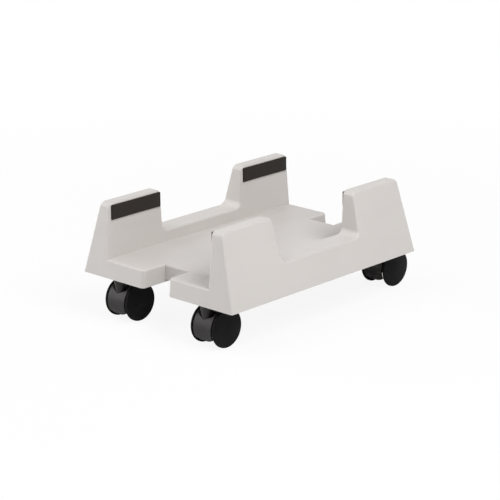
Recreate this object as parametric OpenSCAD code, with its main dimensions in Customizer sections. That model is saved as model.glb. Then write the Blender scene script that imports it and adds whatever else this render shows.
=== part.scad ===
// Rolling holder for a computer tower: two moulded halves that slide apart,
// four padded uprights and four swivelling twin-wheel casters.
// Millimetres, +Z up, +X to the right half, -Y to the front.
// The origin is on the floor, in the middle of the whole object's footprint.

/* [Body] */
// Length of the body, front to rear, at its bottom edge
body_l = 280; // [250:1:320]
// Width over both halves at the bottom edge, with the slide at rest
body_w = 208; // [200:1:230]
// Height of the uprights above the bottom edge
upright_h = 76.6; // [66:0.2:96]
// Height of the deck above the bottom edge
deck_h = 18.8; // [17:0.2:24]
// Height of the low sill between the uprights
sill_h = 31.6; // [28:0.2:42]
// Thickness of a side wall at the bottom edge
side_t = 33.4; // [30:0.2:38]
// How far the outer faces lean in between bottom and top
side_lean = 20; // [10:0.5:22]
// How far the end faces lean in between bottom and top
end_lean = 7.6; // [0:0.2:14]
// Length of an upright at the height of the sill
upright_l = 81.8; // [60:0.2:100]
// How far an upright's inner end leans between sill and top
upright_lean = 2.8; // [0:0.2:10]
// Wall thickness of the moulding
wall = 2.6; // [2:0.1:3.2]
// Thickness of the stiffening ribs
rib_t = 1.8; // [1.2:0.1:2.4]
// Height of the deck ribs' lower edges above the bottom edge
rib_base = 14; // [11:0.5:14.5]

/* [Edges] */
// Radius at both ends of an upright's top
end_r = 6; // [3:0.5:9]
// Radius of the hollow blend between an upright and the sill
blend_r = 7; // [3:0.5:12]
// Radius of the outer edges
edge_r = 2.2; // [1:0.1:3]
// Radius of the corners of the tabs
tab_r = 4; // [2:0.5:6]
// Radius of the hollow fillet between deck and side wall
deck_fillet = 2; // [1:0.25:3]

/* [Slide] */
// Gap between the tabs of the two halves at rest
tab_gap = 34.8; // [26:0.2:44]
// Distance of the tongue's sides from the body's ends
tongue_inset = 31.2; // [28:0.2:40]
// How far the tongue reaches past the middle at rest
tongue_reach = 78; // [74:0.5:80]
// Running gap between the two halves
slide_gap = 0.4; // [0.3:0.05:0.8]
// How far the halves can be pulled apart from rest
open_travel = 46; // [30:1:48]
// How far the halves can be pushed together from rest
close_travel = 15; // [8:1:17]
// Width of the ledges that carry the tongue
ledge_w = 9; // [6:0.5:14]
// Thickness of the ledges
ledge_t = 2.4; // [1.6:0.1:3]
// Length of the stop lugs at the tongue's end
lug_l = 8; // [5:0.5:12]
// Height of the stop lugs
lug_h = 4; // [3:0.5:5]
// How far a lug stands out past the cheek that it runs in
lug_out = 2.5; // [1.5:0.5:4]
// Height of the lugs above the tongue's lower edge
lug_rise = 2; // [1:0.5:4]
// Number of ribs under the tongue, from side to side
tongue_ribs_y = 4; // [2:1:8]
// Number of ribs under the tongue, from front to rear
tongue_ribs_x = 2; // [1:1:4]

/* [Pads] */
// Height of a pad
pad_h = 15.4; // [10:0.2:20]
// Thickness of a pad
pad_t = 1.6; // [1:0.1:3]
// Distance of a pad's top edge below the upright's top
pad_drop = 2.2; // [2:0.1:12]
// Distance of a pad's ends from the upright's ends, at the top
pad_margin = 1.4; // [1:0.1:12]
// Radius of a pad's corners
pad_r = 1; // [0.5:0.1:2]
// Radius of a pad's front edges
pad_edge_r = 0.5; // [0.2:0.1:0.8]

/* [Casters] */
// Diameter of a caster wheel
wheel_d = 40; // [36:1:42]
// Height of the body's bottom edge above the floor
caster_h = 45.4; // [44:0.2:56]
// Distance of the caster stems from the middle, at rest
caster_x = 60.6; // [54:0.2:62]
// Distance of the caster stems from the body's ends
stem_inset = 10; // [9.5:0.1:14]
// Distance of the wheel axle behind the stem
trail = 12.8; // [10:0.2:13]
// Diameter of a stem
stem_d = 6; // [5:0.1:6.2]
// Length of a stem inside its socket
stem_up = 14; // [11:0.5:14]
// Thickness of a stem's collar
collar_t = 2; // [1.5:0.1:3]
// Diameter of a stem's collar
collar_d = 11; // [9:0.5:13]
// How far a stem reaches below the axle
stem_below = 2; // [0:0.5:4]
// Size of the chamfer at a stem's upper end
stem_tip = 0.8; // [0.4:0.1:1.5]
// Outer diameter of a socket boss
boss_d = 13; // [11:0.5:14]
// Gap between a stem and its socket
socket_gap = 0.6; // [0.4:0.05:0.7]
// Wire diameter of a grip ring
ring_wire = 1; // [0.8:0.1:1.2]
// Height of a grip ring above the bottom edge
ring_h = 8.6; // [4:0.2:9]
// Opening of a grip ring, in degrees
ring_slit = 50; // [30:5:90]
// Width of a hood
hood_w = 23.6; // [20:0.2:26]
// Wall thickness of a hood
hood_t = 1.5; // [1:0.1:2]
// Outer diameter of a hood's neck at its foot
neck_d = 8.4; // [8:0.1:9]
// Outer diameter of a hood's neck at its top
neck_top_d = 13.6; // [10:0.2:14]
// Thickness of a hood's middle web
web_t = 4; // [3:0.2:6]
// Lower edge of a hood's front, in degrees below level
hood_front = 38; // [20:1:60]
// Radius of the bow in the lower edge of a hood's front
hood_bow_r = 23; // [16:1:40]
// Lower edge of a hood's back, in degrees above level
hood_back = 28; // [10:1:50]
// Height of the neck notch's tip above the axle
notch_h = 9.6; // [8:0.2:12]
// Half width of the neck notch
notch_w = 9.4; // [7:0.2:10]
// Rise of the neck notch from its tip to its sides
notch_rise = 4.4; // [2:0.2:6]
// Width of the groove between a hood and a wheel
rim_gap = 1.8; // [0.6:0.1:2]
// Width of a wheel's tread
tread_w = 2.3; // [2:0.1:6]
// Radius of a wheel's outer rim edge
rim_r = 1.3; // [0.8:0.1:1.8]
// Crown of a wheel's outer face
dome = 1.6; // [0.8:0.1:3]
// Width of the flat margin between rim edge and crown
rim_flat = 1; // [0.5:0.1:2]
// Wall thickness of a wheel's drum and hub
drum_t = 2.2; // [1.6:0.1:3]
// Thickness of a wheel's face
wheel_web = 1.9; // [1.4:0.1:2.6]
// Diameter of an axle
axle_d = 5; // [4:0.1:6]
// Length of the boss that holds an axle
axle_boss_l = 13.6; // [11:0.2:15]
// Wall thickness of that boss
axle_boss_t = 2.4; // [1.6:0.1:3]
// Number of ribs inside a wheel
wheel_ribs = 6; // [3:1:10]
// Thickness of those ribs
wheel_rib_t = 1.2; // [0.8:0.1:2]

/* [Hidden] */
$fn = 64;

// Overlap of cutting shapes past the faces that they cut
over = 2;
// Radial clearance of a turning fit
run_fit = 0.05;
// Radial clearance of a fixed fit
fixed_fit = 0.01;
// Clearance between parts that pass each other
pass_gap = 0.3;
// Clearance between a hood's barrel and a wheel's drum
drum_gap = 1.4;
// Clearance between a hood's neck and the stem's collar
neck_gap = 0.15;
// How far a wheel's ribs run into the walls that they join, and stay inside its drum
sink = 0.5;
// Steps of a circle that is much larger than the part, and of a ring's wire
crown_steps = 600;
wire_steps = 24;

half_w = body_w / 2;
half_l = body_l / 2;
inner_x = half_w - side_t;
tab_x = tab_gap / 2;
tongue_y = half_l - tongue_inset;
arm_y = tongue_y + slide_gap;
tongue_base = ledge_t + slide_gap;
lug_base = tongue_base + lug_rise;
lug_y = arm_y + wall + lug_out;
wheel_r = wheel_d / 2;
axle_z = wheel_r - caster_h;
drum_r = wheel_r - hood_t - drum_gap;
wheel_x = hood_w / 2 + rim_gap;
drum_x = notch_w + hood_t + pass_gap;
face_x = wheel_x + tread_w;
web_x = face_x - wheel_web;
hub_r = axle_d / 2 + drum_t;
hub_x = axle_boss_l / 2 + pass_gap;
neck_top = -collar_t - neck_gap;
neck_foot = axle_z + notch_h;
stem_low = axle_z - stem_below;
bore_low = stem_low - pass_gap;
socket_r = stem_d / 2 + socket_gap;
ring_r = socket_r - ring_wire / 2 - fixed_fit;

// The casters trail to the rear, so the footprint's middle lies behind the body's
rear_reach = max(half_l, half_l - stem_inset + trail + wheel_r);
front_reach = max(half_l, half_l - stem_inset - trail + wheel_r);
middle_y = (front_reach - rear_reach) / 2;

grey = [0.78, 0.76, 0.74];
black = [0.09, 0.09, 0.09];
foam = [0.17, 0.155, 0.15];
steel = [0.62, 0.63, 0.64];

// Outer face, front face and an upright's inner end at a height
function outer_x(z) = half_w - side_lean * z / upright_h;
function front_y(z) = -half_l + end_lean * z / upright_h;
function inner_end_y(z) = -half_l + upright_l - upright_lean * (z - sill_h) / (upright_h - sill_h);

// Horizontal thickness of a wall that leans
function leaning(t, lean, h) = t * sqrt(1 + pow(lean / h, 2));

function unit(v) = v / norm(v);
function half_angle(p, a, b) = acos(unit(a - p) * unit(b - p)) / 2;
function arc_centre(p, a, b, r) = p + unit(unit(a - p) + unit(b - p)) * r / sin(half_angle(p, a, b));
function tangent_point(p, a, b, r) = p + unit(a - p) * r / tan(half_angle(p, a, b));

// Sliver between a corner at p, with sides towards a and b, and the arc that rounds it
module corner_sliver(p, a, b, r, out = 0) {
    c = arc_centre(p, a, b, r);
    difference() {
        polygon([tangent_point(p, a, b, r), p + unit(p - c) * out, tangent_point(p, b, a, r), c]);
        translate(c) circle(r);
    }
}

// Cutter that rounds the straight edge from p to q; u and v point from it into its two faces
module edge_cutter(p, q, u, v, r) {
    d = unit(q - p);
    e = unit(u - (u * d) * d);
    f = unit(v - (v * d) * d);
    n = cross(d, e);
    multmatrix([[e.x, n.x, d.x, p.x], [e.y, n.y, d.y, p.y], [e.z, n.z, d.z, p.z], [0, 0, 0, 1]])
        linear_extrude(norm(q - p))
            corner_sliver([0, 0], [1, 0], [f * e, f * n], r, out = over);
}

// Extrusions of a drawing in (x, z) along Y, and of a drawing in (y, z) along X
module along_y(l) { rotate([90, 0, 0]) linear_extrude(l, center = true) children(); }
module along_x(x0, x1) { translate([x0, 0, 0]) rotate([90, 0, 90]) linear_extrude(x1 - x0) children(); }
module both_ends() { children(); mirror([0, 1, 0]) children(); }
module rod_x(r, x0, x1) { translate([x0, 0, 0]) rotate([0, 90, 0]) cylinder(r = r, h = x1 - x0); }
module block(lo, hi) { translate(lo) cube(hi - lo); }

// Cross-section of a half: side wall with its upright, and the deck out to the tab's end
module half_section() {
    outer_low = [half_w, 0];
    outer_top = [outer_x(upright_h), upright_h];
    inner_top = [inner_x, upright_h];
    inner_low = [inner_x, deck_h];
    tab_top = [tab_x, deck_h];
    tab_low = [tab_x, 0];
    difference() {
        polygon([outer_low, outer_top, inner_top, inner_low, tab_top, tab_low]);
        corner_sliver(outer_top, outer_low, inner_top, edge_r, out = over);
        corner_sliver(inner_top, outer_top, inner_low, edge_r, out = over);
        corner_sliver(tab_top, inner_low, tab_low, edge_r, out = over);
    }
}

// Corners of the side view, in (y, z): the end, the upright's top and its foot
end_low = [-half_l, 0];
end_top = [front_y(upright_h), upright_h];
foot_top = [inner_end_y(upright_h), upright_h];
foot_low = [inner_end_y(sill_h), sill_h];
flip = [[-1, 0], [0, 1]];

// Side view of a half: leaning ends, two uprights and the sill between them
module side_view() {
    half = [end_low, end_top, foot_top, foot_low];
    difference() {
        polygon(concat(half, [for (i = [3:-1:0]) flip * half[i]]));
        for (s = [0, 1]) mirror([s, 0]) {
            corner_sliver(end_top, end_low, foot_top, end_r, out = over);
            corner_sliver(foot_top, end_top, foot_low, end_r, out = over);
        }
    }
    for (s = [0, 1]) mirror([s, 0])
        corner_sliver(foot_low, foot_top, flip * foot_low, blend_r);
}

// Rounds the edges of a half that neither view shows as an outline
module half_edges() {
    foot_z = sill_h + blend_r;
    top_z = upright_h + over;
    sill_out = [outer_x(sill_h), 0, sill_h];
    sill_in = [inner_x, 0, sill_h];
    run = [0, inner_end_y(sill_h) + blend_r, 0];
    both_ends() {
        edge_cutter([outer_x(-over), front_y(-over), -over], [outer_x(top_z), front_y(top_z), top_z],
            [-1, 0, 0], [0, 1, 0], edge_r);
        edge_cutter([inner_x, front_y(deck_h), deck_h], [inner_x, front_y(top_z), top_z],
            [1, 0, 0], [0, 1, 0], edge_r);
        edge_cutter([outer_x(foot_z), inner_end_y(foot_z), foot_z],
            [outer_x(top_z), inner_end_y(top_z), top_z], [-1, 0, 0], [0, -1, 0], edge_r);
        edge_cutter([inner_x, inner_end_y(foot_z), foot_z], [inner_x, inner_end_y(top_z), top_z],
            [1, 0, 0], [0, -1, 0], edge_r);
        edge_cutter([tab_x - over, front_y(deck_h), deck_h], [inner_x, front_y(deck_h), deck_h],
            [0, 1, 0], [0, -end_lean / upright_h, -1], edge_r);
        edge_cutter([tab_x, front_y(-over), -over], [tab_x, front_y(deck_h + over), deck_h + over],
            [1, 0, 0], [0, 1, 0], tab_r);
    }
    edge_cutter(sill_out + run, sill_out - run, [-1, 0, 0], [side_lean / upright_h, 0, -1], edge_r);
    edge_cutter(sill_in + run, sill_in - run, [1, 0, 0], [0, 0, -1], edge_r);
}

// Outside of a half, solid, with the deck over its whole length
module half_outside() {
    difference() {
        intersection() {
            along_y(body_l + 2 * over) half_section();
            along_x(0, half_w + over) side_view();
        }
        half_edges();
    }
}

// Fillet between deck and side wall, from y0 to y1
module deck_fillet_bar(y0, y1) {
    foot = [inner_x, deck_h];
    translate([0, (y0 + y1) / 2, 0]) along_y(y1 - y0)
        corner_sliver(foot, [inner_x, upright_h], [tab_x, deck_h], deck_fillet);
}

// Hollow of a half, open at the bottom
module half_hollow() {
    side_wall = leaning(wall, side_lean, upright_h);
    end_wall = leaning(wall, end_lean, upright_h);
    foot_wall = leaning(wall, upright_lean, upright_h - sill_h);
    top = upright_h - wall;
    sill = sill_h - wall;
    intersection() {
        along_y(body_l)
            polygon([[outer_x(-over) - side_wall, -over], [outer_x(top) - side_wall, top],
                [inner_x + wall, top], [inner_x + wall, deck_h - wall],
                [tab_x + wall, deck_h - wall], [tab_x + wall, -over]]);
        along_x(0, half_w) {
            y = [front_y(-over) + end_wall, front_y(top) + end_wall,
                inner_end_y(top) - foot_wall, inner_end_y(sill) - foot_wall];
            polygon([[y[0], -over], [y[1], top], [y[2], top], [y[3], sill],
                [-y[3], sill], [-y[2], top], [-y[1], top], [-y[0], -over]]);
        }
    }
}

// Material that stays inside a half's hollow: the stem sockets and the ribs
module socket_bosses() {
    for (s = [-1, 1]) translate([caster_x, s * (half_l - stem_inset), 0])
        cylinder(d = boss_d, h = deck_h);
}
module cross_rib(y, x0, x1, base) { block([x0, y - rib_t / 2, base], [x1, y + rib_t / 2, upright_h]); }
module long_rib(x, y0, y1) { block([x - rib_t / 2, y0, rib_base], [x + rib_t / 2, y1, upright_h]); }
module side_ribs() {
    upright_mid = half_l - upright_l / 2;
    upright_foot = half_l - upright_l;
    above_tongue = deck_h + 2 * slide_gap;
    for (y = [-upright_mid, -upright_foot, 0, upright_foot, upright_mid])
        cross_rib(y, inner_x, half_w, above_tongue);
    for (s = [-1, 1]) cross_rib(s * (half_l - stem_inset), tab_x, half_w, rib_base);
}

// Bores for the caster stems
module socket_bores() {
    for (s = [-1, 1]) translate([caster_x, s * (half_l - stem_inset), -over])
        cylinder(r = socket_r, h = stem_up + pass_gap + over);
}

// Left half: side wall, deck and the tongue that slides into the right half
module left_base() {
    color(grey) place() difference() {
        union() {
            mirror([1, 0, 0]) {
                half_outside();
                deck_fillet_bar(front_y(deck_h) + edge_r, -front_y(deck_h) - edge_r);
            }
            tongue_outside();
        }
        difference() {
            mirror([1, 0, 0]) half_hollow();
            mirror([1, 0, 0]) {
                socket_bosses();
                side_ribs();
                long_rib((inner_x + tab_x) / 2, -tongue_y, tongue_y);
            }
            tongue_ribs();
        }
        difference() {
            tongue_hollow();
            tongue_ribs();
        }
        mirror([1, 0, 0]) socket_bores();
    }
}

module tongue_outside() {
    block([-tab_x - wall, -tongue_y, tongue_base], [tongue_reach, tongue_y, deck_h]);
    both_ends()
        block([tongue_reach - lug_l, -lug_y, lug_base], [tongue_reach, -tongue_y + wall, lug_base + lug_h]);
}
module tongue_hollow() {
    block([-tab_x, -tongue_y + wall, -over], [tongue_reach - wall, tongue_y - wall, deck_h - wall]);
}
module tongue_ribs() {
    step_y = 2 * tongue_y / (tongue_ribs_y + 1);
    step_x = (tab_x + tongue_reach) / (tongue_ribs_x + 1);
    for (i = [1:tongue_ribs_y]) cross_rib(i * step_y - tongue_y, -inner_x, tongue_reach, rib_base);
    for (i = [1:tongue_ribs_x]) long_rib(i * step_x - tab_x, -tongue_y, tongue_y);
}

// Right half: side wall with two arms, whose cheeks and ledges guide the tongue
module right_base() {
    color(grey) place() {
        difference() {
            union() {
                half_outside();
                both_ends() deck_fillet_bar(front_y(deck_h) + edge_r, -arm_y);
            }
            difference() {
                half_hollow();
                socket_bosses();
                side_ribs();
                cheeks();
            }
            tongue_way();
            lug_slots();
            socket_bores();
        }
        ledges();
    }
}

// Walls of the arms on either side of the tongue
module cheeks() {
    both_ends() block([tab_x, -arm_y - wall, -over], [half_w, -arm_y, sill_h]);
}
// Way of the tongue between the arms and under the sill
module tongue_way() {
    block([0, -arm_y, -over], [inner_x + wall + over, arm_y, deck_h + slide_gap]);
}
// Slots in the cheeks for the tongue's stop lugs, closed at the tab's end
module lug_slots() {
    stop_x = tongue_reach - lug_l - open_travel - pass_gap;
    both_ends()
        block([stop_x, -arm_y - wall - over, lug_base - slide_gap],
            [tongue_reach + close_travel + pass_gap, -arm_y + over, lug_base + lug_h + slide_gap]);
}
// Ledges under the tongue's two sides
module ledges() {
    both_ends() block([tab_x + tab_r, -arm_y - wall / 2, 0],
        [outer_x(0) - wall, -arm_y + ledge_w, ledge_t]);
}

// Pad on the inner face of an upright
module pad(right, rear) {
    low = upright_h - pad_drop - pad_h;
    y0 = front_y(upright_h) + pad_margin;
    y1 = inner_end_y(upright_h) - pad_margin;
    color(foam) place() turned(right, rear)
        translate([inner_x - pad_t, y0, low]) pad_block(y1 - y0);
}
module pad_block(l) {
    corners = [[0, 0], [l, 0], [l, pad_h], [0, pad_h]];
    difference() {
        along_x(0, pad_t) difference() {
            polygon(corners);
            for (i = [0:3])
                corner_sliver(corners[i], corners[(i + 1) % 4], corners[(i + 3) % 4], pad_r, out = over);
        }
        for (z = [0, pad_h]) edge_cutter([0, -over, z], [0, l + over, z],
            [1, 0, 0], [0, 0, z == 0 ? 1 : -1], pad_edge_r);
        for (y = [0, l]) edge_cutter([0, y, -over], [0, y, pad_h + over],
            [1, 0, 0], [0, y == 0 ? 1 : -1, 0], pad_edge_r);
    }
}

// Lifts the body's frame, whose bottom edge is at zero, to its place above the floor
module place() { translate([0, middle_y, caster_h]) children(); }
// Puts a shape drawn for the right front corner at another corner
module turned(right, rear) { mirror([right ? 0 : 1, 0, 0]) mirror([0, rear ? 1 : 0, 0]) children(); }
// Moves a caster's frame, drawn around its stem, to its corner
module at_corner(right, rear) {
    place() translate([right ? caster_x : -caster_x, rear ? half_l - stem_inset : stem_inset - half_l, 0])
        children();
}
// Moves a shape drawn around the axle to its place behind the stem
module at_axle() { translate([0, trail, axle_z]) children(); }

// Steel stem: plain end in the hood, collar, and a grooved end for the grip ring
module stem(right, rear) {
    groove_r = ring_r - ring_wire / 2 - run_fit;
    tip_z = stem_up - stem_tip;
    color(steel) at_corner(right, rear) difference() {
        union() {
            translate([0, 0, stem_low]) cylinder(d = stem_d, h = tip_z - stem_low);
            translate([0, 0, tip_z]) cylinder(d1 = stem_d, d2 = stem_d - 2 * stem_tip, h = stem_tip);
            translate([0, 0, -collar_t]) cylinder(d = collar_d, h = collar_t);
        }
        translate([0, 0, ring_h]) difference() {
            cylinder(d = stem_d + over, h = ring_wire + 2 * run_fit, center = true);
            cylinder(r = groove_r, h = ring_wire + over, center = true);
        }
    }
}

// Split wire rings that hold the stems in their sockets
module grip_rings(right) {
    color(steel) for (rear = [false, true]) at_corner(right, rear) translate([0, 0, ring_h])
        rotate([0, 0, ring_slit / 2]) rotate_extrude(angle = 360 - ring_slit)
            translate([ring_r, 0]) circle(d = ring_wire, $fn = wire_steps);
}

// Moulded hood: barrel over the wheels, middle web, axle boss and neck for the stem
module hood(right, rear) {
    color(black) at_corner(right, rear) difference() {
        union() {
            at_axle() {
                hood_barrel();
                rod_x(axle_d / 2 + axle_boss_t, -axle_boss_l / 2, axle_boss_l / 2);
            }
            translate([0, 0, bore_low - hood_t]) cylinder(d = neck_d, h = neck_foot - bore_low + hood_t);
            translate([0, 0, neck_foot]) cylinder(d1 = neck_d, d2 = neck_top_d, h = neck_top - neck_foot);
        }
        at_axle() rod_x(axle_d / 2 + fixed_fit, -axle_boss_l, axle_boss_l);
        translate([0, 0, bore_low]) cylinder(d = stem_d + 2 * run_fit, h = neck_top - bore_low + over);
    }
}
module hood_barrel() {
    x = hood_w / 2;
    far = 2 * wheel_r;
    front_low = wheel_r * [-cos(hood_front), -sin(hood_front)];
    // The bow starts just below the front edge, so that it crosses the edge twice
    bow_z = front_low.y - pass_gap;
    difference() {
        rod_x(wheel_r, -x, x);
        difference() {
            for (s = [0, 1]) mirror([s, 0, 0]) rod_x(wheel_r - hood_t, web_t / 2, x + over);
            neck_notch(hood_t);
        }
        along_x(-x - over, x + over)
            polygon([[0, 0], far * [cos(hood_back), sin(hood_back)], [far, -far], [-far, -far],
                2 * front_low]);
        translate([0, -wheel_r, 0]) along_y(2 * wheel_r) difference() {
            translate([-x - over, -far]) square([hood_w + 2 * over, far]);
            translate([0, bow_z + hood_bow_r]) circle(hood_bow_r);
        }
        neck_notch(0);
    }
}
// Notch in the barrel's top around the neck, made larger by t for the trough that it is cut into
module neck_notch(t) {
    front = wheel_r + over;
    back = t - trail + neck_top_d / 2 + over;
    side = notch_w + t;
    tip = notch_h - leaning(t, notch_rise, notch_w);
    rise = notch_rise * side / notch_w;
    translate([0, (back - front) / 2, 0]) along_y(front + back)
        polygon([[0, tip], [side, tip + rise], [side, front], [-side, front], [-side, tip + rise]]);
}

// Steel axle
module axle(right, rear) {
    end = web_x - 2 * pass_gap;
    color(steel) at_corner(right, rear) at_axle() rod_x(axle_d / 2, -end, end);
}

// Moulded wheel, drawn for the +X side: tread, crowned face, inner drum, hub and ribs
module wheel(right, rear, side) {
    color(black) at_corner(right, rear) at_axle() mirror([side > 0 ? 0 : 1, 0, 0]) difference() {
        union() {
            rotate([90, 0, 90]) rotate_extrude() wheel_profile();
            for (i = [0:wheel_ribs - 1]) rotate([i * 360 / wheel_ribs, 0, 0])
                block([drum_x + sink, hub_r - sink, -wheel_rib_t / 2],
                    [web_x + sink, drum_r - drum_t + sink, wheel_rib_t / 2]);
        }
        rod_x(axle_d / 2 + run_fit, hub_x - over, web_x - pass_gap);
    }
}
// Half of a wheel's section in (radius, x)
module wheel_profile() {
    drum_in = drum_r - drum_t;
    corner = [wheel_r, face_x];
    crown_w = wheel_r - rim_r - rim_flat;
    crown_r = (pow(crown_w, 2) + pow(dome, 2)) / (2 * dome);
    difference() {
        polygon([[drum_in, drum_x], [drum_r, drum_x], [drum_r, wheel_x], [wheel_r, wheel_x], corner,
            [drum_in, face_x]]);
        corner_sliver(corner, [wheel_r, wheel_x], [drum_in, face_x], rim_r, out = over);
    }
    intersection() {
        translate([0, web_x]) square([crown_w, tread_w + dome]);
        translate([0, face_x + dome - crown_r]) circle(crown_r, $fn = crown_steps);
    }
    translate([0, hub_x]) square([hub_r, face_x - hub_x]);
}

left_base();
right_base();
pad(false, false);  // pad_front_left
pad(false, true);  // pad_rear_left
pad(true, false);  // pad_front_right
pad(true, true);  // pad_rear_right
stem(false, false);  // stem_front_left
stem(false, true);  // stem_rear_left
stem(true, false);  // stem_front_right
stem(true, true);  // stem_rear_right
grip_rings(false);  // grip_rings_left
grip_rings(true);  // grip_rings_right
hood(false, false);  // hood_front_left
hood(false, true);  // hood_rear_left
hood(true, false);  // hood_front_right
hood(true, true);  // hood_rear_right
axle(false, false);  // axle_front_left
axle(false, true);  // axle_rear_left
axle(true, false);  // axle_front_right
axle(true, true);  // axle_rear_right
wheel(false, false, -1);  // wheel_front_left_outer
wheel(false, false, 1);  // wheel_front_left_inner
wheel(false, true, -1);  // wheel_rear_left_outer
wheel(false, true, 1);  // wheel_rear_left_inner
wheel(true, false, 1);  // wheel_front_right_outer
wheel(true, false, -1);  // wheel_front_right_inner
wheel(true, true, 1);  // wheel_rear_right_outer
wheel(true, true, -1);  // wheel_rear_right_inner
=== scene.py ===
"""Looks of a rolling holder for a computer tower, built around its CAD frame.

Metres, +Z up, -Y to the front.
"""
import math

import bmesh
import bpy
from mathutils import Matrix, Vector


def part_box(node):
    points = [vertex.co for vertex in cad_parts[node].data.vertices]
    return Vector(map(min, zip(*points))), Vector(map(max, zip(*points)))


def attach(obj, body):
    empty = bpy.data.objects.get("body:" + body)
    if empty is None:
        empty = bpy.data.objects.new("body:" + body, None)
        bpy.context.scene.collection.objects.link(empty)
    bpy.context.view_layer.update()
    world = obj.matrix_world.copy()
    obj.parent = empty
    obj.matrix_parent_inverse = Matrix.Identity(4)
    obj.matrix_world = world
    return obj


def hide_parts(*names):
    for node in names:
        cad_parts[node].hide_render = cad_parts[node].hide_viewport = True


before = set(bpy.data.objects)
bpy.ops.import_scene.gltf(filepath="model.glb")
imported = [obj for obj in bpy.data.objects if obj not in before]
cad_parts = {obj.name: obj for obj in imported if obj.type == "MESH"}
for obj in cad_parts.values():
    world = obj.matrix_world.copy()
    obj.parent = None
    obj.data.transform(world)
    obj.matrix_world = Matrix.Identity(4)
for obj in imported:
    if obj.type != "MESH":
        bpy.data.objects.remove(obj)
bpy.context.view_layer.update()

MM = 0.001
SIDES = ("left", "right")
ENDS = ("front", "rear")
CORNERS = [(end, side) for side in SIDES for end in ENDS]

# Sizes of the moulded halves. In their own frame x counts from the middle,
# y from the middle of the body's length and z from its bottom edge.
right_low, right_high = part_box("right_base")
HALF_W = right_high.x
HALF_L = (right_high.y - right_low.y) / 2
MIDDLE = Vector((0, (right_high.y + right_low.y) / 2, right_low.z))
UPRIGHT_H = right_high.z - right_low.z
TAB_X = right_low.x
TONGUE_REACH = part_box("left_base")[1].x
DECK_H = 18.8 * MM
SILL_H = 31.6 * MM
SIDE_T = 33.4 * MM
SIDE_LEAN = 20 * MM
END_LEAN = 7.6 * MM
UPRIGHT_L = 81.8 * MM
UPRIGHT_LEAN = 2.8 * MM
WALL = 2.6 * MM
RIB_T = 1.8 * MM
RIB_BASE = 14 * MM
END_R = 6 * MM
BLEND_R = 7 * MM
EDGE_R = 2.2 * MM
TAB_R = 4 * MM
ARM_R = 4 * MM
SLIDE_GAP = 0.4 * MM
TONGUE_INSET = 31.2 * MM
LEDGE_T = 2.4 * MM
LEDGE_W = 9 * MM
LUG_L = 8 * MM
LUG_H = 4 * MM
LUG_OUT = 2.5 * MM
LUG_RISE = 2 * MM
OPEN_TRAVEL = 46 * MM
CLOSE_TRAVEL = 15 * MM
PASS_GAP = 0.3 * MM
CASTER_X = 60.6 * MM
STEM_INSET = 10 * MM
BOSS_R = 6.5 * MM
SOCKET_R = 3.6 * MM
SOCKET_H = 14.3 * MM
TONGUE_RIBS_Y = 4
TONGUE_RIBS_X = 2
INNER_X = HALF_W - SIDE_T
TONGUE_Y = HALF_L - TONGUE_INSET
ARM_Y = TONGUE_Y + SLIDE_GAP
TONGUE_BASE = LEDGE_T + SLIDE_GAP
LUG_BASE = TONGUE_BASE + LUG_RISE
LUG_Y = ARM_Y + WALL + LUG_OUT

# How far a cut reaches past what it cuts, how near points count as one,
# and how far a tool keeps off a face that it would otherwise just touch
OVER = 2 * MM
NEAR = 0.02 * MM
CLEAR = 0.05 * MM

# Steps of the roundings and of a rod, and angles in degrees
ROUND_STEPS = 8
TAB_STEPS = 6
EDGE_STEPS = 4
PAD_STEPS = 4
PAD_EDGE_STEPS = 3
ROD_SIDES = 48
FLAT_ANGLE = 0.2
SHARP_ANGLE = 40
SHELL_SMOOTH = 35
PAD_SMOOTH = 40

# Foam pads
PAD_R = 1 * MM
PAD_EDGE_R = 0.5 * MM
PAD_CROWN = 0.12 * MM
PAD_PULL = 0.15 * MM
PAD_COLUMNS = 8
PAD_ROWS = 4

# Finishes, in linear colour
GREY = (0.61, 0.58, 0.556)
FOAM = (0.024, 0.0187, 0.0155)
HOOD = (0.024, 0.0215, 0.0212)
WHEEL = (0.014, 0.0135, 0.0138)
STEEL = (0.6, 0.6, 0.61)

# Camera and light, fitted to the photograph. The focal length is in pixels of the picture.
TARGET_HEIGHT = 0.06418
TARGET = Vector((0, MIDDLE.y, TARGET_HEIGHT))
CAMERA_TURN = 42.986
CAMERA_HEIGHT = 17.166
CAMERA_ROLL = -0.379
CAMERA_DISTANCE = 2.0732
CAMERA_SHIFT = (-0.001768, -0.006683)
CAMERA_START = 0.05
SENSOR_WIDTH = 36
FOCAL_PIXELS = 2008
PICTURE_PIXELS = 500
FLOOR_SIZE = 12
FLOOR_COLOUR = (0.9, 0.9, 0.9)
FLOOR_GLOW = 0.9
SHADOW_NEAR = 0.25
SHADOW_FAR = 0.9
AMBIENT = 0.2
LAMP_DISTANCE = 1.8
# Degrees round from the front to the right, degrees up, size in metres and power in watts
LAMPS = {
    "key": (86, 50, 1.0, 23.7),
    "left": (-62, 12, 1.4, 21),
    "front": (-15, 60, 1.0, 7),
}

# Moves the axes' places round, so that what stands along Z lies along X
LAY_ALONG_X = Matrix(((0, 0, 1, 0), (1, 0, 0, 0), (0, 1, 0, 0), (0, 0, 0, 1)))


# Edit-mode helpers

def only(piece):
    """Makes the piece the one selected and active object."""
    bpy.ops.object.select_all(action="DESELECT")
    piece.select_set(True)
    bpy.context.view_layer.objects.active = piece


def edit(piece):
    only(piece)
    bpy.ops.object.mode_set(mode="EDIT")
    bpy.ops.mesh.select_all(action="SELECT")


def leave():
    bpy.ops.object.mode_set(mode="OBJECT")


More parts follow.
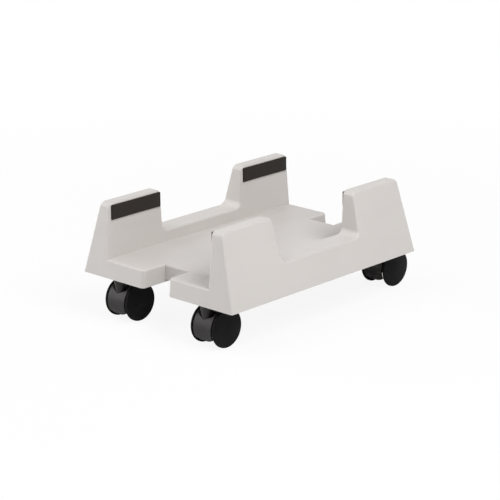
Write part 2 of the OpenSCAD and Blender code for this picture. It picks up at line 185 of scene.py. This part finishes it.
def pick(piece, kind, test):
    """In edit mode, selects the verts, edges or faces that pass the test."""
    bpy.ops.mesh.select_all(action="DESELECT")
    kinds = ("verts", "edges", "faces")
    bpy.context.tool_settings.mesh_select_mode = [kind == k for k in kinds]
    mesh = bmesh.from_edit_mesh(piece.data)
    for element in getattr(mesh, kind):
        if test(element):
            element.select_set(True)
    mesh.select_flush_mode()
    bmesh.update_edit_mesh(piece.data)


def middle_of(element):
    points = [v.co for v in element.verts]
    return sum(points, Vector()) / len(points)


def all_at(element, axis, value):
    return all(abs(v.co[axis] - value) < NEAR for v in element.verts)


def block(name, low, high):
    """A box between two corners, given in any order."""
    low, high = Vector(low), Vector(high)
    bpy.ops.object.select_all(action="DESELECT")
    bpy.ops.mesh.primitive_cube_add(size=1, location=(low + high) / 2)
    piece = bpy.context.object
    piece.name = name
    piece.scale = [abs(d) for d in high - low]
    bpy.ops.object.transform_apply(location=True, rotation=True, scale=True)
    return piece


def rod(name, low, radius, height):
    """An upright cylinder that stands on the point low."""
    bpy.ops.object.select_all(action="DESELECT")
    place = Vector(low) + Vector((0, 0, height / 2))
    bpy.ops.mesh.primitive_cylinder_add(vertices=ROD_SIDES, radius=radius, depth=height,
                                        location=place)
    piece = bpy.context.object
    piece.name = name
    bpy.ops.object.transform_apply(location=True, rotation=True, scale=True)
    return piece


def combine(piece, tool, operation):
    """Adds a solid to the piece or cuts it away, and deletes the solid."""
    only(piece)
    step = piece.modifiers.new(operation, "BOOLEAN")
    step.operation = operation
    step.object = tool
    step.solver = "EXACT"
    step.use_self = True
    bpy.ops.object.modifier_apply(modifier=step.name)
    bpy.data.objects.remove(tool)


def anything(element):
    return True


def cut(piece, place, normal, test=anything):
    """In edit mode, draws the line of a plane on the faces that pass the test."""
    pick(piece, "faces", test)
    bpy.ops.mesh.bisect(plane_co=place, plane_no=normal)


def push(offset):
    bpy.ops.transform.translate(value=offset)


def extrude(offset):
    bpy.ops.mesh.extrude_region_move(TRANSFORM_OT_translate={"value": offset})


# Moulded halves

def outer_x(z):
    return HALF_W - SIDE_LEAN * z / UPRIGHT_H


def end_y(z):
    return HALF_L - END_LEAN * z / UPRIGHT_H


def foot_y(z):
    """Distance of an upright's inner end from the middle, at a height."""
    return HALF_L - UPRIGHT_L + UPRIGHT_LEAN * (z - SILL_H) / (UPRIGHT_H - SILL_H)


def leaning(thickness, lean, height):
    return thickness * math.hypot(1, lean / height)


def half_form(name, side, wall, floor):
    """Sharp solid of a half, or of its hollow where a wall is given.

    It has the side wall, the two uprights and the deck.
    """
    top = UPRIGHT_H - wall
    sill = SILL_H - wall
    deck = DECK_H - wall
    inner = INNER_X + wall
    tab = TAB_X + wall
    side_wall = leaning(wall, SIDE_LEAN, UPRIGHT_H)
    end_wall = leaning(wall, END_LEAN, UPRIGHT_H)
    foot = foot_y(SILL_H) + leaning(wall, UPRIGHT_LEAN, UPRIGHT_H - SILL_H)
    piece = block(name, (side * inner, -HALF_L, floor), (side * HALF_W, HALF_L, top))
    edit(piece)
    for level in (deck, sill):
        cut(piece, (0, 0, level), (0, 0, 1))
    for end in (-1, 1):
        cut(piece, (0, end * foot, 0), (0, 1, 0))
    # Opening between the uprights
    pick(piece, "faces",
         lambda f: abs(middle_of(f).y) < foot / 2 and middle_of(f).z > sill + NEAR)
    bpy.ops.mesh.delete(type="ONLY_FACE")
    pick(piece, "edges", lambda e: not e.link_faces and all_at(e, 2, top))
    bpy.ops.mesh.delete(type="EDGE")
    for end in (-1, 1):
        pick(piece, "verts",
             lambda v: abs(v.co.y - end * foot) < NEAR and v.co.z > sill - NEAR)
        bpy.ops.mesh.edge_face_add()
    pick(piece, "verts",
         lambda v: abs(abs(v.co.y) - foot) < NEAR and abs(v.co.z - sill) < NEAR)
    bpy.ops.mesh.edge_face_add()
    # Deck, drawn out of the wall's inner face
    has_arms = side > 0 and not wall
    if has_arms:
        for end in (-1, 1):
            cut(piece, (0, end * ARM_Y, 0), (0, 1, 0), lambda f: all_at(f, 0, inner))
    pick(piece, "faces", lambda f: all_at(f, 0, side * inner) and middle_of(f).z < deck
         and (abs(middle_of(f).y) > ARM_Y or not has_arms))
    extrude((side * (tab - inner), 0, 0))
    if side < 0 and not wall:
        draw_tongue(piece)
    # Lean of the outer face, the ends and the uprights' inner ends
    for level in (floor, TONGUE_BASE, deck, sill, top):
        pick(piece, "verts",
             lambda v: abs(v.co.z - level) < NEAR and abs(v.co.x) > HALF_W - NEAR)
        push((side * (outer_x(level) - side_wall - HALF_W), 0, 0))
        for end in (-1, 1):
            pick(piece, "verts",
                 lambda v: abs(v.co.z - level) < NEAR and end * v.co.y > HALF_L - NEAR)
            push((0, end * (end_y(level) - end_wall - HALF_L), 0))
    for end in (-1, 1):
        pick(piece, "verts",
             lambda v: abs(v.co.z - top) < NEAR and abs(v.co.y - end * foot) < NEAR)
        push((0, end * (foot_y(top) - foot_y(sill)), 0))
    bpy.ops.mesh.select_all(action="SELECT")
    bpy.ops.mesh.dissolve_limited(angle_limit=math.radians(FLAT_ANGLE))
    bpy.ops.mesh.normals_make_consistent(inside=False)
    leave()
    return piece


def draw_tongue(piece):
    """Draws the tongue out of the end of the left half's deck."""
    for end in (-1, 1):
        cut(piece, (0, end * TONGUE_Y, 0), (0, 1, 0), lambda f: all_at(f, 0, -TAB_X))
    cut(piece, (0, 0, TONGUE_BASE), (0, 0, 1), lambda f: all_at(f, 0, -TAB_X))
    pick(piece, "faces", lambda f: all_at(f, 0, -TAB_X) and abs(middle_of(f).y) < TONGUE_Y
         and middle_of(f).z > TONGUE_BASE)
    extrude((TAB_X + TONGUE_REACH, 0, 0))


def round_edges(piece, radius, steps, test):
    pick(piece, "edges", test)
    bpy.ops.mesh.bevel(offset=radius, offset_type="OFFSET", segments=steps, affect="EDGES",
                       clamp_overlap=False, profile=0.5)


def along_x(edge):
    a, b = (v.co for v in edge.verts)
    return abs(a.y - b.y) < NEAR and abs(a.z - b.z) < NEAR


def is_sharp(edge):
    return len(edge.link_faces) == 2 and edge.calc_face_angle() > math.radians(SHARP_ANGLE)


def offset_for(radius, corner):
    """Width of the bevel that gives a radius at a corner of so many degrees."""
    return radius / math.tan(math.radians(corner) / 2)


def is_tab_corner(edge):
    """True for the upright edges at the deck's free corners."""
    a, b = (v.co for v in edge.verts)
    return (abs(a.x) < TAB_X + NEAR and a.x == b.x and abs(a.z - b.z) > DECK_H / 2
            and abs(middle_of(edge).y) > HALF_L - END_LEAN and is_sharp(edge))


def round_half(piece):
    """Rounds a half's edges as the mould does: feet, ends of the tops, tab corners, outlines."""
    end_corner = 90 + math.degrees(math.atan(END_LEAN / UPRIGHT_H))
    foot_corner = 90 + math.degrees(math.atan(UPRIGHT_LEAN / (UPRIGHT_H - SILL_H)))
    edit(piece)
    round_edges(piece, offset_for(BLEND_R, foot_corner), ROUND_STEPS,
                lambda e: along_x(e) and all_at(e, 2, SILL_H) and abs(middle_of(e).x) > INNER_X)
    round_edges(piece, offset_for(END_R, end_corner), ROUND_STEPS,
                lambda e: along_x(e) and all_at(e, 2, UPRIGHT_H))
    round_edges(piece, TAB_R, TAB_STEPS, is_tab_corner)
    if piece.name.startswith("right"):
        for end in (-1, 1):
            cut(piece, (0, end * ARM_Y, 0), (0, 1, 0), lambda f: all_at(f, 0, INNER_X))
    round_edges(piece, EDGE_R, EDGE_STEPS,
                lambda e: is_sharp(e) and e.is_convex and is_outline(e))
    leave()


def is_outline(edge):
    """True for the edges that the mould rounds.

    Those are not the bottom edge, nor what the halves hide in each other.
    """
    a, b = (v.co for v in edge.verts)
    low = min(a.z, b.z)
    if max(a.z, b.z) < TONGUE_BASE + NEAR:
        return False
    in_way = abs(middle_of(edge).y) < ARM_Y + NEAR and low < DECK_H - NEAR
    beside_way = all_at(edge, 1, ARM_Y) or all_at(edge, 1, -ARM_Y)
    return not in_way and not beside_way


def ribs(side):
    """Material that stays in a half's hollow: ribs across it, and the stem sockets."""
    thick = RIB_T / 2
    mid = HALF_L - UPRIGHT_L / 2
    foot = HALF_L - UPRIGHT_L
    stem_y = HALF_L - STEM_INSET
    above = DECK_H + 2 * SLIDE_GAP
    kept = []
    for y in (-mid, -foot, 0, foot, mid):
        kept.append(block("rib", (side * INNER_X, y - thick, above),
                          (side * HALF_W, y + thick, UPRIGHT_H)))
    for end in (-1, 1):
        y = end * stem_y
        kept.append(block("rib", (side * TAB_X, y - thick, RIB_BASE),
                          (side * HALF_W, y + thick, UPRIGHT_H)))
        kept.append(rod("boss", (side * CASTER_X, y, 0), BOSS_R, DECK_H))
    return kept


def tongue_ribs(low_x, high_x, count):
    """Ribs under the tongue's strip of the deck, between two places across the width."""
    thick = RIB_T / 2
    step_y = 2 * TONGUE_Y / (TONGUE_RIBS_Y + 1)
    step_x = (high_x - low_x) / (count + 1)
    kept = []
    for i in range(1, TONGUE_RIBS_Y + 1):
        y = i * step_y - TONGUE_Y
        kept.append(block("rib", (low_x, y - thick, RIB_BASE),
                          (high_x, y + thick, UPRIGHT_H)))
    for i in range(1, count + 1):
        x = low_x + i * step_x
        kept.append(block("rib", (x - thick, -TONGUE_Y, RIB_BASE),
                          (x + thick, TONGUE_Y, UPRIGHT_H)))
    return kept


def bore_sockets(piece, side):
    for end in (-1, 1):
        hole = rod("bore", (side * CASTER_X, end * (HALF_L - STEM_INSET), -OVER),
                   SOCKET_R, SOCKET_H + OVER)
        combine(piece, hole, "DIFFERENCE")


def left_shell():
    """Left half with its tongue."""
    shell = half_form("left_shell", -1, 0, 0)
    round_half(shell)
    deck_hollow = half_form("deck_hollow", -1, WALL, -OVER)
    tongue_hollow = block("tongue_hollow", (-TAB_X, WALL - TONGUE_Y, -OVER),
                          (TONGUE_REACH - WALL, TONGUE_Y - WALL, DECK_H - WALL))
    for kept in ribs(-1) + tongue_ribs(-INNER_X, -TAB_X, 1):
        combine(deck_hollow, kept, "DIFFERENCE")
    for kept in tongue_ribs(-TAB_X, TONGUE_REACH, TONGUE_RIBS_X):
        combine(tongue_hollow, kept, "DIFFERENCE")
    for hollow in (deck_hollow, tongue_hollow):
        combine(shell, hollow, "DIFFERENCE")
    for end in (-1, 1):
        lug = block("lug", (TONGUE_REACH - LUG_L, end * LUG_Y, LUG_BASE),
                    (TONGUE_REACH, end * (TONGUE_Y - WALL / 2), LUG_BASE + LUG_H))
        combine(shell, lug, "UNION")
    bore_sockets(shell, -1)
    return shell


def edge_waste(end):
    """What the rounding of an arm's top edge takes away, beside the tongue."""
    middle = end * (ARM_Y + ARM_R)
    waste = block("edge_waste", (TAB_X - OVER, end * (ARM_Y - OVER), DECK_H - ARM_R),
                  (INNER_X - CLEAR, middle, DECK_H + OVER))
    core = rod("core", (middle, DECK_H - ARM_R, 0), ARM_R + CLEAR, HALF_W)
    core.data.transform(LAY_ALONG_X)
    combine(waste, core, "DIFFERENCE")
    return waste


def right_shell():
    """Right half with the two arms that guide the tongue."""
    shell = half_form("right_shell", 1, 0, 0)
    round_half(shell)
    hollow = half_form("hollow", 1, WALL, -OVER)
    for kept in ribs(1):
        combine(hollow, kept, "DIFFERENCE")
    for end in (-1, 1):
        cheek = block("cheek", (TAB_X, end * (ARM_Y + WALL), -2 * OVER),
                      (HALF_W, end * ARM_Y, SILL_H))
        combine(hollow, cheek, "DIFFERENCE")
    combine(shell, hollow, "DIFFERENCE")
    way = block("way", (0, -ARM_Y, -OVER),
                (INNER_X + WALL + OVER, ARM_Y, DECK_H + SLIDE_GAP))
    combine(shell, way, "DIFFERENCE")
    for end in (-1, 1):
        combine(shell, edge_waste(end), "DIFFERENCE")
    stop = TONGUE_REACH - LUG_L - OPEN_TRAVEL - PASS_GAP
    for end in (-1, 1):
        slot = block("slot", (stop, end * (ARM_Y + WALL + OVER), LUG_BASE - SLIDE_GAP),
                     (TONGUE_REACH + CLOSE_TRAVEL + PASS_GAP, end * (ARM_Y - OVER),
                      LUG_BASE + LUG_H + SLIDE_GAP))
        combine(shell, slot, "DIFFERENCE")
        ledge = block("ledge", (TAB_X + TAB_R, end * (ARM_Y + WALL / 2), 0),
                      (HALF_W - WALL, end * (ARM_Y - LEDGE_W), LEDGE_T))
        combine(shell, ledge, "UNION")
    bore_sockets(shell, 1)
    return shell


def settle(piece):
    """Moves a half to its place, merges doubled points and smooths its rounded edges."""
    piece.data.transform(Matrix.Translation(MIDDLE))
    edit(piece)
    bpy.ops.mesh.remove_doubles(threshold=NEAR)
    bpy.ops.mesh.select_all(action="SELECT")
    bpy.ops.mesh.dissolve_degenerate(threshold=NEAR)
    bpy.ops.mesh.delete_loose()
    leave()
    bpy.ops.object.shade_smooth_by_angle(angle=math.radians(SHELL_SMOOTH))
    step = piece.modifiers.new("flat faces", "WEIGHTED_NORMAL")
    step.keep_sharp = True
    bpy.ops.object.modifier_apply(modifier=step.name)


# Foam pads

def pad_form(name):
    """One foam strip, die-cut and stuck on.

    It has rounded corners, a crowned face and sides that pull in a little.
    """
    low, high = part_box(name)
    middle, half = (low + high) / 2, (high - low) / 2
    back, out = (low.x, 1) if middle.x < 0 else (high.x, -1)
    face = back + out * (2 * half.x - PAD_CROWN)
    piece = block(name + "_foam", (back, low.y, low.z), (face, high.y, high.z))
    columns = [middle.y + half.y * (2 * i / PAD_COLUMNS - 1) for i in range(1, PAD_COLUMNS)]
    rows = [middle.z + half.z * (2 * i / PAD_ROWS - 1) for i in range(1, PAD_ROWS)]
    edit(piece)
    round_edges(piece, PAD_R, PAD_STEPS, along_x)
    round_edges(piece, PAD_EDGE_R, PAD_EDGE_STEPS, lambda e: all_at(e, 0, face))
    for y in columns:
        cut(piece, (0, y, 0), (0, 1, 0))
    for z in rows:
        cut(piece, (0, 0, z), (0, 0, 1))
    for y in columns:
        bow = 1 - ((y - middle.y) / half.y) ** 2
        for edge in (-1, 1):
            pick(piece, "verts", lambda v: abs(v.co.y - y) < NEAR
                 and edge * (v.co.z - middle.z) > half.z - PAD_EDGE_R - NEAR)
            push((0, 0, -edge * PAD_PULL * bow))
        for z in rows:
            rise = bow * (1 - ((z - middle.z) / half.z) ** 2)
            pick(piece, "verts", lambda v: (v.co - Vector((face, y, z))).length < NEAR)
            push((out * PAD_CROWN * rise, 0, 0))
    bpy.ops.mesh.select_all(action="SELECT")
    bpy.ops.mesh.normals_make_consistent(inside=False)
    leave()
    return piece


def copy_of(piece, name, offset, mirror):
    """A copy with its own mesh, moved, or mirrored to the other half."""
    twin = bpy.data.objects.new(name, piece.data.copy())
    bpy.context.scene.collection.objects.link(twin)
    if mirror:
        twin.data.transform(Matrix.Scale(-1, 4, (1, 0, 0)))
        twin.data.flip_normals()
    twin.data.transform(Matrix.Translation(offset))
    return twin


# Finishes

def finish(name, colour, roughness):
    """A new material with a plain shader, with its node maker, its linker and the shader."""
    material = bpy.data.materials.new(name)
    material.use_nodes = True
    shader = material.node_tree.nodes["Principled BSDF"]
    shader.inputs["Base Color"].default_value = (*colour, 1)
    shader.inputs["Roughness"].default_value = roughness
    return material, maker(material.node_tree), material.node_tree.links.new, shader


def maker(tree):
    """A function that adds a node to the tree, with its sockets' values and other settings."""
    def add(kind, values=(), **settings):
        node = tree.nodes.new(kind)
        for key, value in settings.items():
            setattr(node, key, value)
        for socket, value in dict(values).items():
            node.inputs[socket].default_value = value
        return node
    return add


def speckle(add, link, place, scale, detail, rough=0.5):
    """Even noise of a scale per metre, on a place in the object."""
    node = add("ShaderNodeTexNoise", {"Scale": scale, "Detail": detail, "Roughness": rough})
    link(place, node.inputs["Vector"])
    return node.outputs["Fac"]


def between(add, link, value, low, high, start=0.3, end=0.7):
    """A value of a range from start to end, as one from low to high."""
    node = add("ShaderNodeMapRange",
               {"From Min": start, "From Max": end, "To Min": low, "To Max": high})
    link(value, node.inputs["Value"])
    return node.outputs["Result"]


def tint(add, link, value, dark, light):
    """A colour between two, by a value."""
    node = add("ShaderNodeMix", data_type="RGBA")
    first, second = (i for i in node.inputs if i.type == "RGBA")
    first.default_value = (*dark, 1)
    second.default_value = (*light, 1)
    link(value, node.inputs["Factor"])
    return next(o for o in node.outputs if o.type == "RGBA")


def shade(colour, factor):
    return tuple(c * factor for c in colour)


def relief(add, link, height, depth, under=None):
    """A bump of a depth in metres, over another one where that is given."""
    node = add("ShaderNodeBump", {"Strength": 1.0, "Distance": depth})
    link(height, node.inputs["Height"])
    if under:
        link(under, node.inputs["Normal"])
    return node.outputs["Normal"]


def moulded_grey():
    """Light warm grey moulding with a fine grain, faint flow marks and slight clouding."""
    material, add, link, shader = finish("moulded_grey", GREY, roughness=0.45)
    place = add("ShaderNodeTexCoord").outputs["Object"]
    cloud = speckle(add, link, place, scale=18, detail=3)
    grain = speckle(add, link, place, scale=1500, detail=2)
    fine = speckle(add, link, place, scale=4200, detail=1)
    flow = add("ShaderNodeMapping", {"Scale": (60, 8, 60)})
    link(place, flow.inputs["Vector"])
    streak = speckle(add, link, flow.outputs["Vector"], scale=1, detail=2)
    mixed = add("ShaderNodeMath", operation="ADD")
    link(cloud, mixed.inputs[0])
    link(streak, mixed.inputs[1])
    tone = between(add, link, mixed.outputs["Value"], low=0, high=1, start=0.7, end=1.3)
    colour = tint(add, link, tone, dark=shade(GREY, 0.985), light=shade(GREY, 1.015))
    link(colour, shader.inputs["Base Color"])
    link(between(add, link, grain, low=0.40, high=0.50), shader.inputs["Roughness"])
    coarse = relief(add, link, grain, depth=0.00002)
    link(relief(add, link, fine, depth=0.000008, under=coarse), shader.inputs["Normal"])
    return material


def foam_black():
    """Closed-cell foam: matt, nearly black, with small cells and a few larger pores."""
    material, add, link, shader = finish("foam_black", FOAM, roughness=0.9)
    shader.inputs["Specular IOR Level"].default_value = 0.15
    shader.inputs["Sheen Weight"].default_value = 0.07
    shader.inputs["Sheen Roughness"].default_value = 0.6
    place = add("ShaderNodeTexCoord").outputs["Object"]
    cells = add("ShaderNodeTexVoronoi", {"Scale": 1700}, feature="SMOOTH_F1")
    link(place, cells.inputs["Vector"])
    pores = speckle(add, link, place, scale=650, detail=3, rough=0.6)
    tone = between(add, link, pores, low=0, high=1, start=0.35, end=0.65)
    colour = tint(add, link, tone, dark=shade(FOAM, 0.75), light=shade(FOAM, 1.2))
    link(colour, shader.inputs["Base Color"])
    link(between(add, link, pores, low=0.82, high=0.95), shader.inputs["Roughness"])
    celled = relief(add, link, cells.outputs["Distance"], depth=0.00012)
    link(relief(add, link, pores, depth=0.0001, under=celled), shader.inputs["Normal"])
    return material


def caster_black(name, colour, roughness, gloss, axle=None):
    """Satin black moulding. Where the axle's place is given, faint turning marks run round it."""
    material, add, link, shader = finish(name, colour, roughness)
    shader.inputs["Specular IOR Level"].default_value = gloss
    place = add("ShaderNodeTexCoord").outputs["Object"]
    cloud = speckle(add, link, place, scale=90, detail=3)
    grain = speckle(add, link, place, scale=1900, detail=2)
    tone = between(add, link, cloud, low=0, high=1)
    clouded = tint(add, link, tone, dark=shade(colour, 0.85), light=shade(colour, 1.2))
    link(clouded, shader.inputs["Base Color"])
    sheen = between(add, link, cloud, low=roughness - 0.05, high=roughness + 0.06)
    link(sheen, shader.inputs["Roughness"])
    surface = relief(add, link, grain, depth=0.000025)
    if axle:
        centre = add("ShaderNodeMapping", {"Location": (0, -axle.y, -axle.z)})
        link(place, centre.inputs["Vector"])
        rings = add("ShaderNodeTexWave", {"Scale": 320, "Distortion": 0.6, "Detail": 2},
                    wave_type="RINGS", rings_direction="X")
        link(centre.outputs["Vector"], rings.inputs["Vector"])
        surface = relief(add, link, rings.outputs["Fac"], depth=0.000012, under=surface)
    link(surface, shader.inputs["Normal"])
    return material


def plated_steel():
    """Zinc-plated steel with fine drawing marks."""
    material, add, link, shader = finish("plated_steel", STEEL, roughness=0.3)
    shader.inputs["Metallic"].default_value = 1
    place = add("ShaderNodeTexCoord").outputs["Object"]
    drawn = add("ShaderNodeMapping", {"Scale": (300, 2500, 2500)})
    link(place, drawn.inputs["Vector"])
    marks = speckle(add, link, drawn.outputs["Vector"], scale=1, detail=2)
    cloud = speckle(add, link, place, scale=240, detail=2)
    tone = between(add, link, cloud, low=0, high=1)
    colour = tint(add, link, tone, dark=shade(STEEL, 0.9), light=shade(STEEL, 1.05))
    link(colour, shader.inputs["Base Color"])
    link(between(add, link, marks, low=0.24, high=0.38), shader.inputs["Roughness"])
    link(relief(add, link, marks, depth=0.00001), shader.inputs["Normal"])
    return material


def dress(piece, material):
    piece.data.materials.clear()
    piece.data.materials.append(material)


# Studio

def white_floor():
    """Pale floor that looks white and takes the object's soft shadow round its foot."""
    bpy.ops.object.select_all(action="DESELECT")
    bpy.ops.mesh.primitive_plane_add(size=FLOOR_SIZE)
    floor = bpy.context.object
    floor.name = "floor"
    material, add, link, shader = finish("floor_white", FLOOR_COLOUR, roughness=0.9)
    shader.inputs["Specular IOR Level"].default_value = 0
    glow = add("ShaderNodeEmission", {"Color": (1, 1, 1, 1), "Strength": 1.0})
    reach = add("ShaderNodeVectorMath", operation="LENGTH")
    link(add("ShaderNodeTexCoord").outputs["Object"], reach.inputs[0])
    share = add("ShaderNodeMath", operation="MULTIPLY")
    link(seen_rays(add, link), share.inputs[0])
    # Near the object gloss shows the floor's shadow, and the camera sees only a trace of it
    path = add("ShaderNodeLightPath")
    near = between(add, link, path.outputs["Is Camera Ray"], low=0, high=FLOOR_GLOW, start=0, end=1)
    away = add("ShaderNodeMapRange",
               {"From Min": SHADOW_NEAR, "From Max": SHADOW_FAR, "To Max": 1.0})
    link(reach.outputs["Value"], away.inputs["Value"])
    link(near, away.inputs["To Min"])
    link(away.outputs["Result"], share.inputs[1])
    blend = add("ShaderNodeMixShader")
    link(share.outputs["Value"], blend.inputs[0])
    link(shader.outputs["BSDF"], blend.inputs[1])
    link(glow.outputs["Emission"], blend.inputs[2])
    output = next(n for n in material.node_tree.nodes if n.type == "OUTPUT_MATERIAL")
    link(blend.outputs["Shader"], output.inputs["Surface"])
    dress(floor, material)


def seen_rays(add, link):
    """1 for the rays that show the backdrop: from the camera, off gloss and through glass."""
    path = add("ShaderNodeLightPath")
    total = path.outputs["Is Camera Ray"]
    for kind in ("Is Glossy Ray", "Is Transmission Ray"):
        either = add("ShaderNodeMath", operation="MAXIMUM")
        link(total, either.inputs[0])
        link(path.outputs[kind], either.inputs[1])
        total = either.outputs["Value"]
    return total


def studio_world():
    """Even light from all round, white where it is seen."""
    world = bpy.data.worlds.new("studio")
    bpy.context.scene.world = world
    world.use_nodes = True
    add, link = maker(world.node_tree), world.node_tree.links.new
    backdrop = world.node_tree.nodes["Background"]
    backdrop.inputs["Color"].default_value = (1, 1, 1, 1)
    level = add("ShaderNodeMapRange", {"To Min": AMBIENT, "To Max": 1.0})
    link(seen_rays(add, link), level.inputs["Value"])
    link(level.outputs["Result"], backdrop.inputs["Strength"])


def direction(turn, height):
    """Unit vector from the object, by degrees round from the front to the right and up."""
    turn, height = math.radians(turn), math.radians(height)
    level = math.cos(height)
    return Vector((math.sin(turn) * level, -math.cos(turn) * level, math.sin(height)))


def softbox(name, turn, height, size, power):
    """A square lamp that faces the middle of the object."""
    lamp = bpy.data.lights.new(name, "AREA")
    lamp.size = size
    lamp.energy = power
    holder = bpy.data.objects.new(name, lamp)
    bpy.context.scene.collection.objects.link(holder)
    holder.location = TARGET + direction(turn, height) * LAMP_DISTANCE
    holder.rotation_euler = direction(turn, height).to_track_quat("Z", "Y").to_euler()


def camera():
    """Camera at the photograph's angle: turn, height and roll about the middle of the deck."""
    roll = math.radians(CAMERA_ROLL)
    back = direction(CAMERA_TURN, CAMERA_HEIGHT)
    right = direction(CAMERA_TURN + 90, 0)
    up = back.cross(right)
    across = right * math.cos(roll) + up * math.sin(roll)
    upward = up * math.cos(roll) - right * math.sin(roll)
    lens = bpy.data.cameras.new("camera")
    lens.sensor_width = SENSOR_WIDTH
    lens.lens = SENSOR_WIDTH * FOCAL_PIXELS / PICTURE_PIXELS
    lens.clip_start = CAMERA_START
    holder = bpy.data.objects.new("camera", lens)
    bpy.context.scene.collection.objects.link(holder)
    axes = Matrix((across, upward, back)).transposed().to_4x4()
    aim = TARGET + across * CAMERA_SHIFT[0] + upward * CAMERA_SHIFT[1]
    holder.matrix_world = Matrix.Translation(aim + back * CAMERA_DISTANCE) @ axes
    bpy.context.scene.camera = holder


grey, foam, steel = moulded_grey(), foam_black(), plated_steel()

left = left_shell()
right = right_shell()
for half in (left, right):
    settle(half)
    dress(half, grey)
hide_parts("left_base")
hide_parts("right_base")
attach(left, "left_half")
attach(right, "right_half")

pad = pad_form("pad_front_left")
only(pad)
bpy.ops.object.shade_smooth_by_angle(angle=math.radians(PAD_SMOOTH))
pad_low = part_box("pad_front_left")[0]
for end, side in CORNERS:
    node = f"pad_{end}_{side}"
    piece = pad
    if (end, side) != ("front", "left"):
        offset = Vector((0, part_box(node)[0].y - pad_low.y, 0))
        piece = copy_of(pad, node + "_foam", offset, side == "right")
    dress(piece, foam)
    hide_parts(node)
    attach(piece, side + "_half")

hood_black = caster_black("hood_black", HOOD, roughness=0.42, gloss=0.27)
for end in ENDS:
    axle_low, axle_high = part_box(f"axle_{end}_left")
    wheel_black = caster_black("wheel_black_" + end, WHEEL, roughness=0.5, gloss=0.04,
                               axle=(axle_low + axle_high) / 2)
    for side in SIDES:
        dress(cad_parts[f"hood_{end}_{side}"], hood_black)
        for part in ("stem", "axle"):
            dress(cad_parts[f"{part}_{end}_{side}"], steel)
        for face in ("outer", "inner"):
            dress(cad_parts[f"wheel_{end}_{side}_{face}"], wheel_black)
for side in SIDES:
    dress(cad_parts["grip_rings_" + side], steel)

white_floor()
studio_world()
for lamp, (turn, height, size, power) in LAMPS.items():
    softbox(lamp, turn, height, size, power)
camera()
bpy.context.scene.view_settings.view_transform = "Standard"
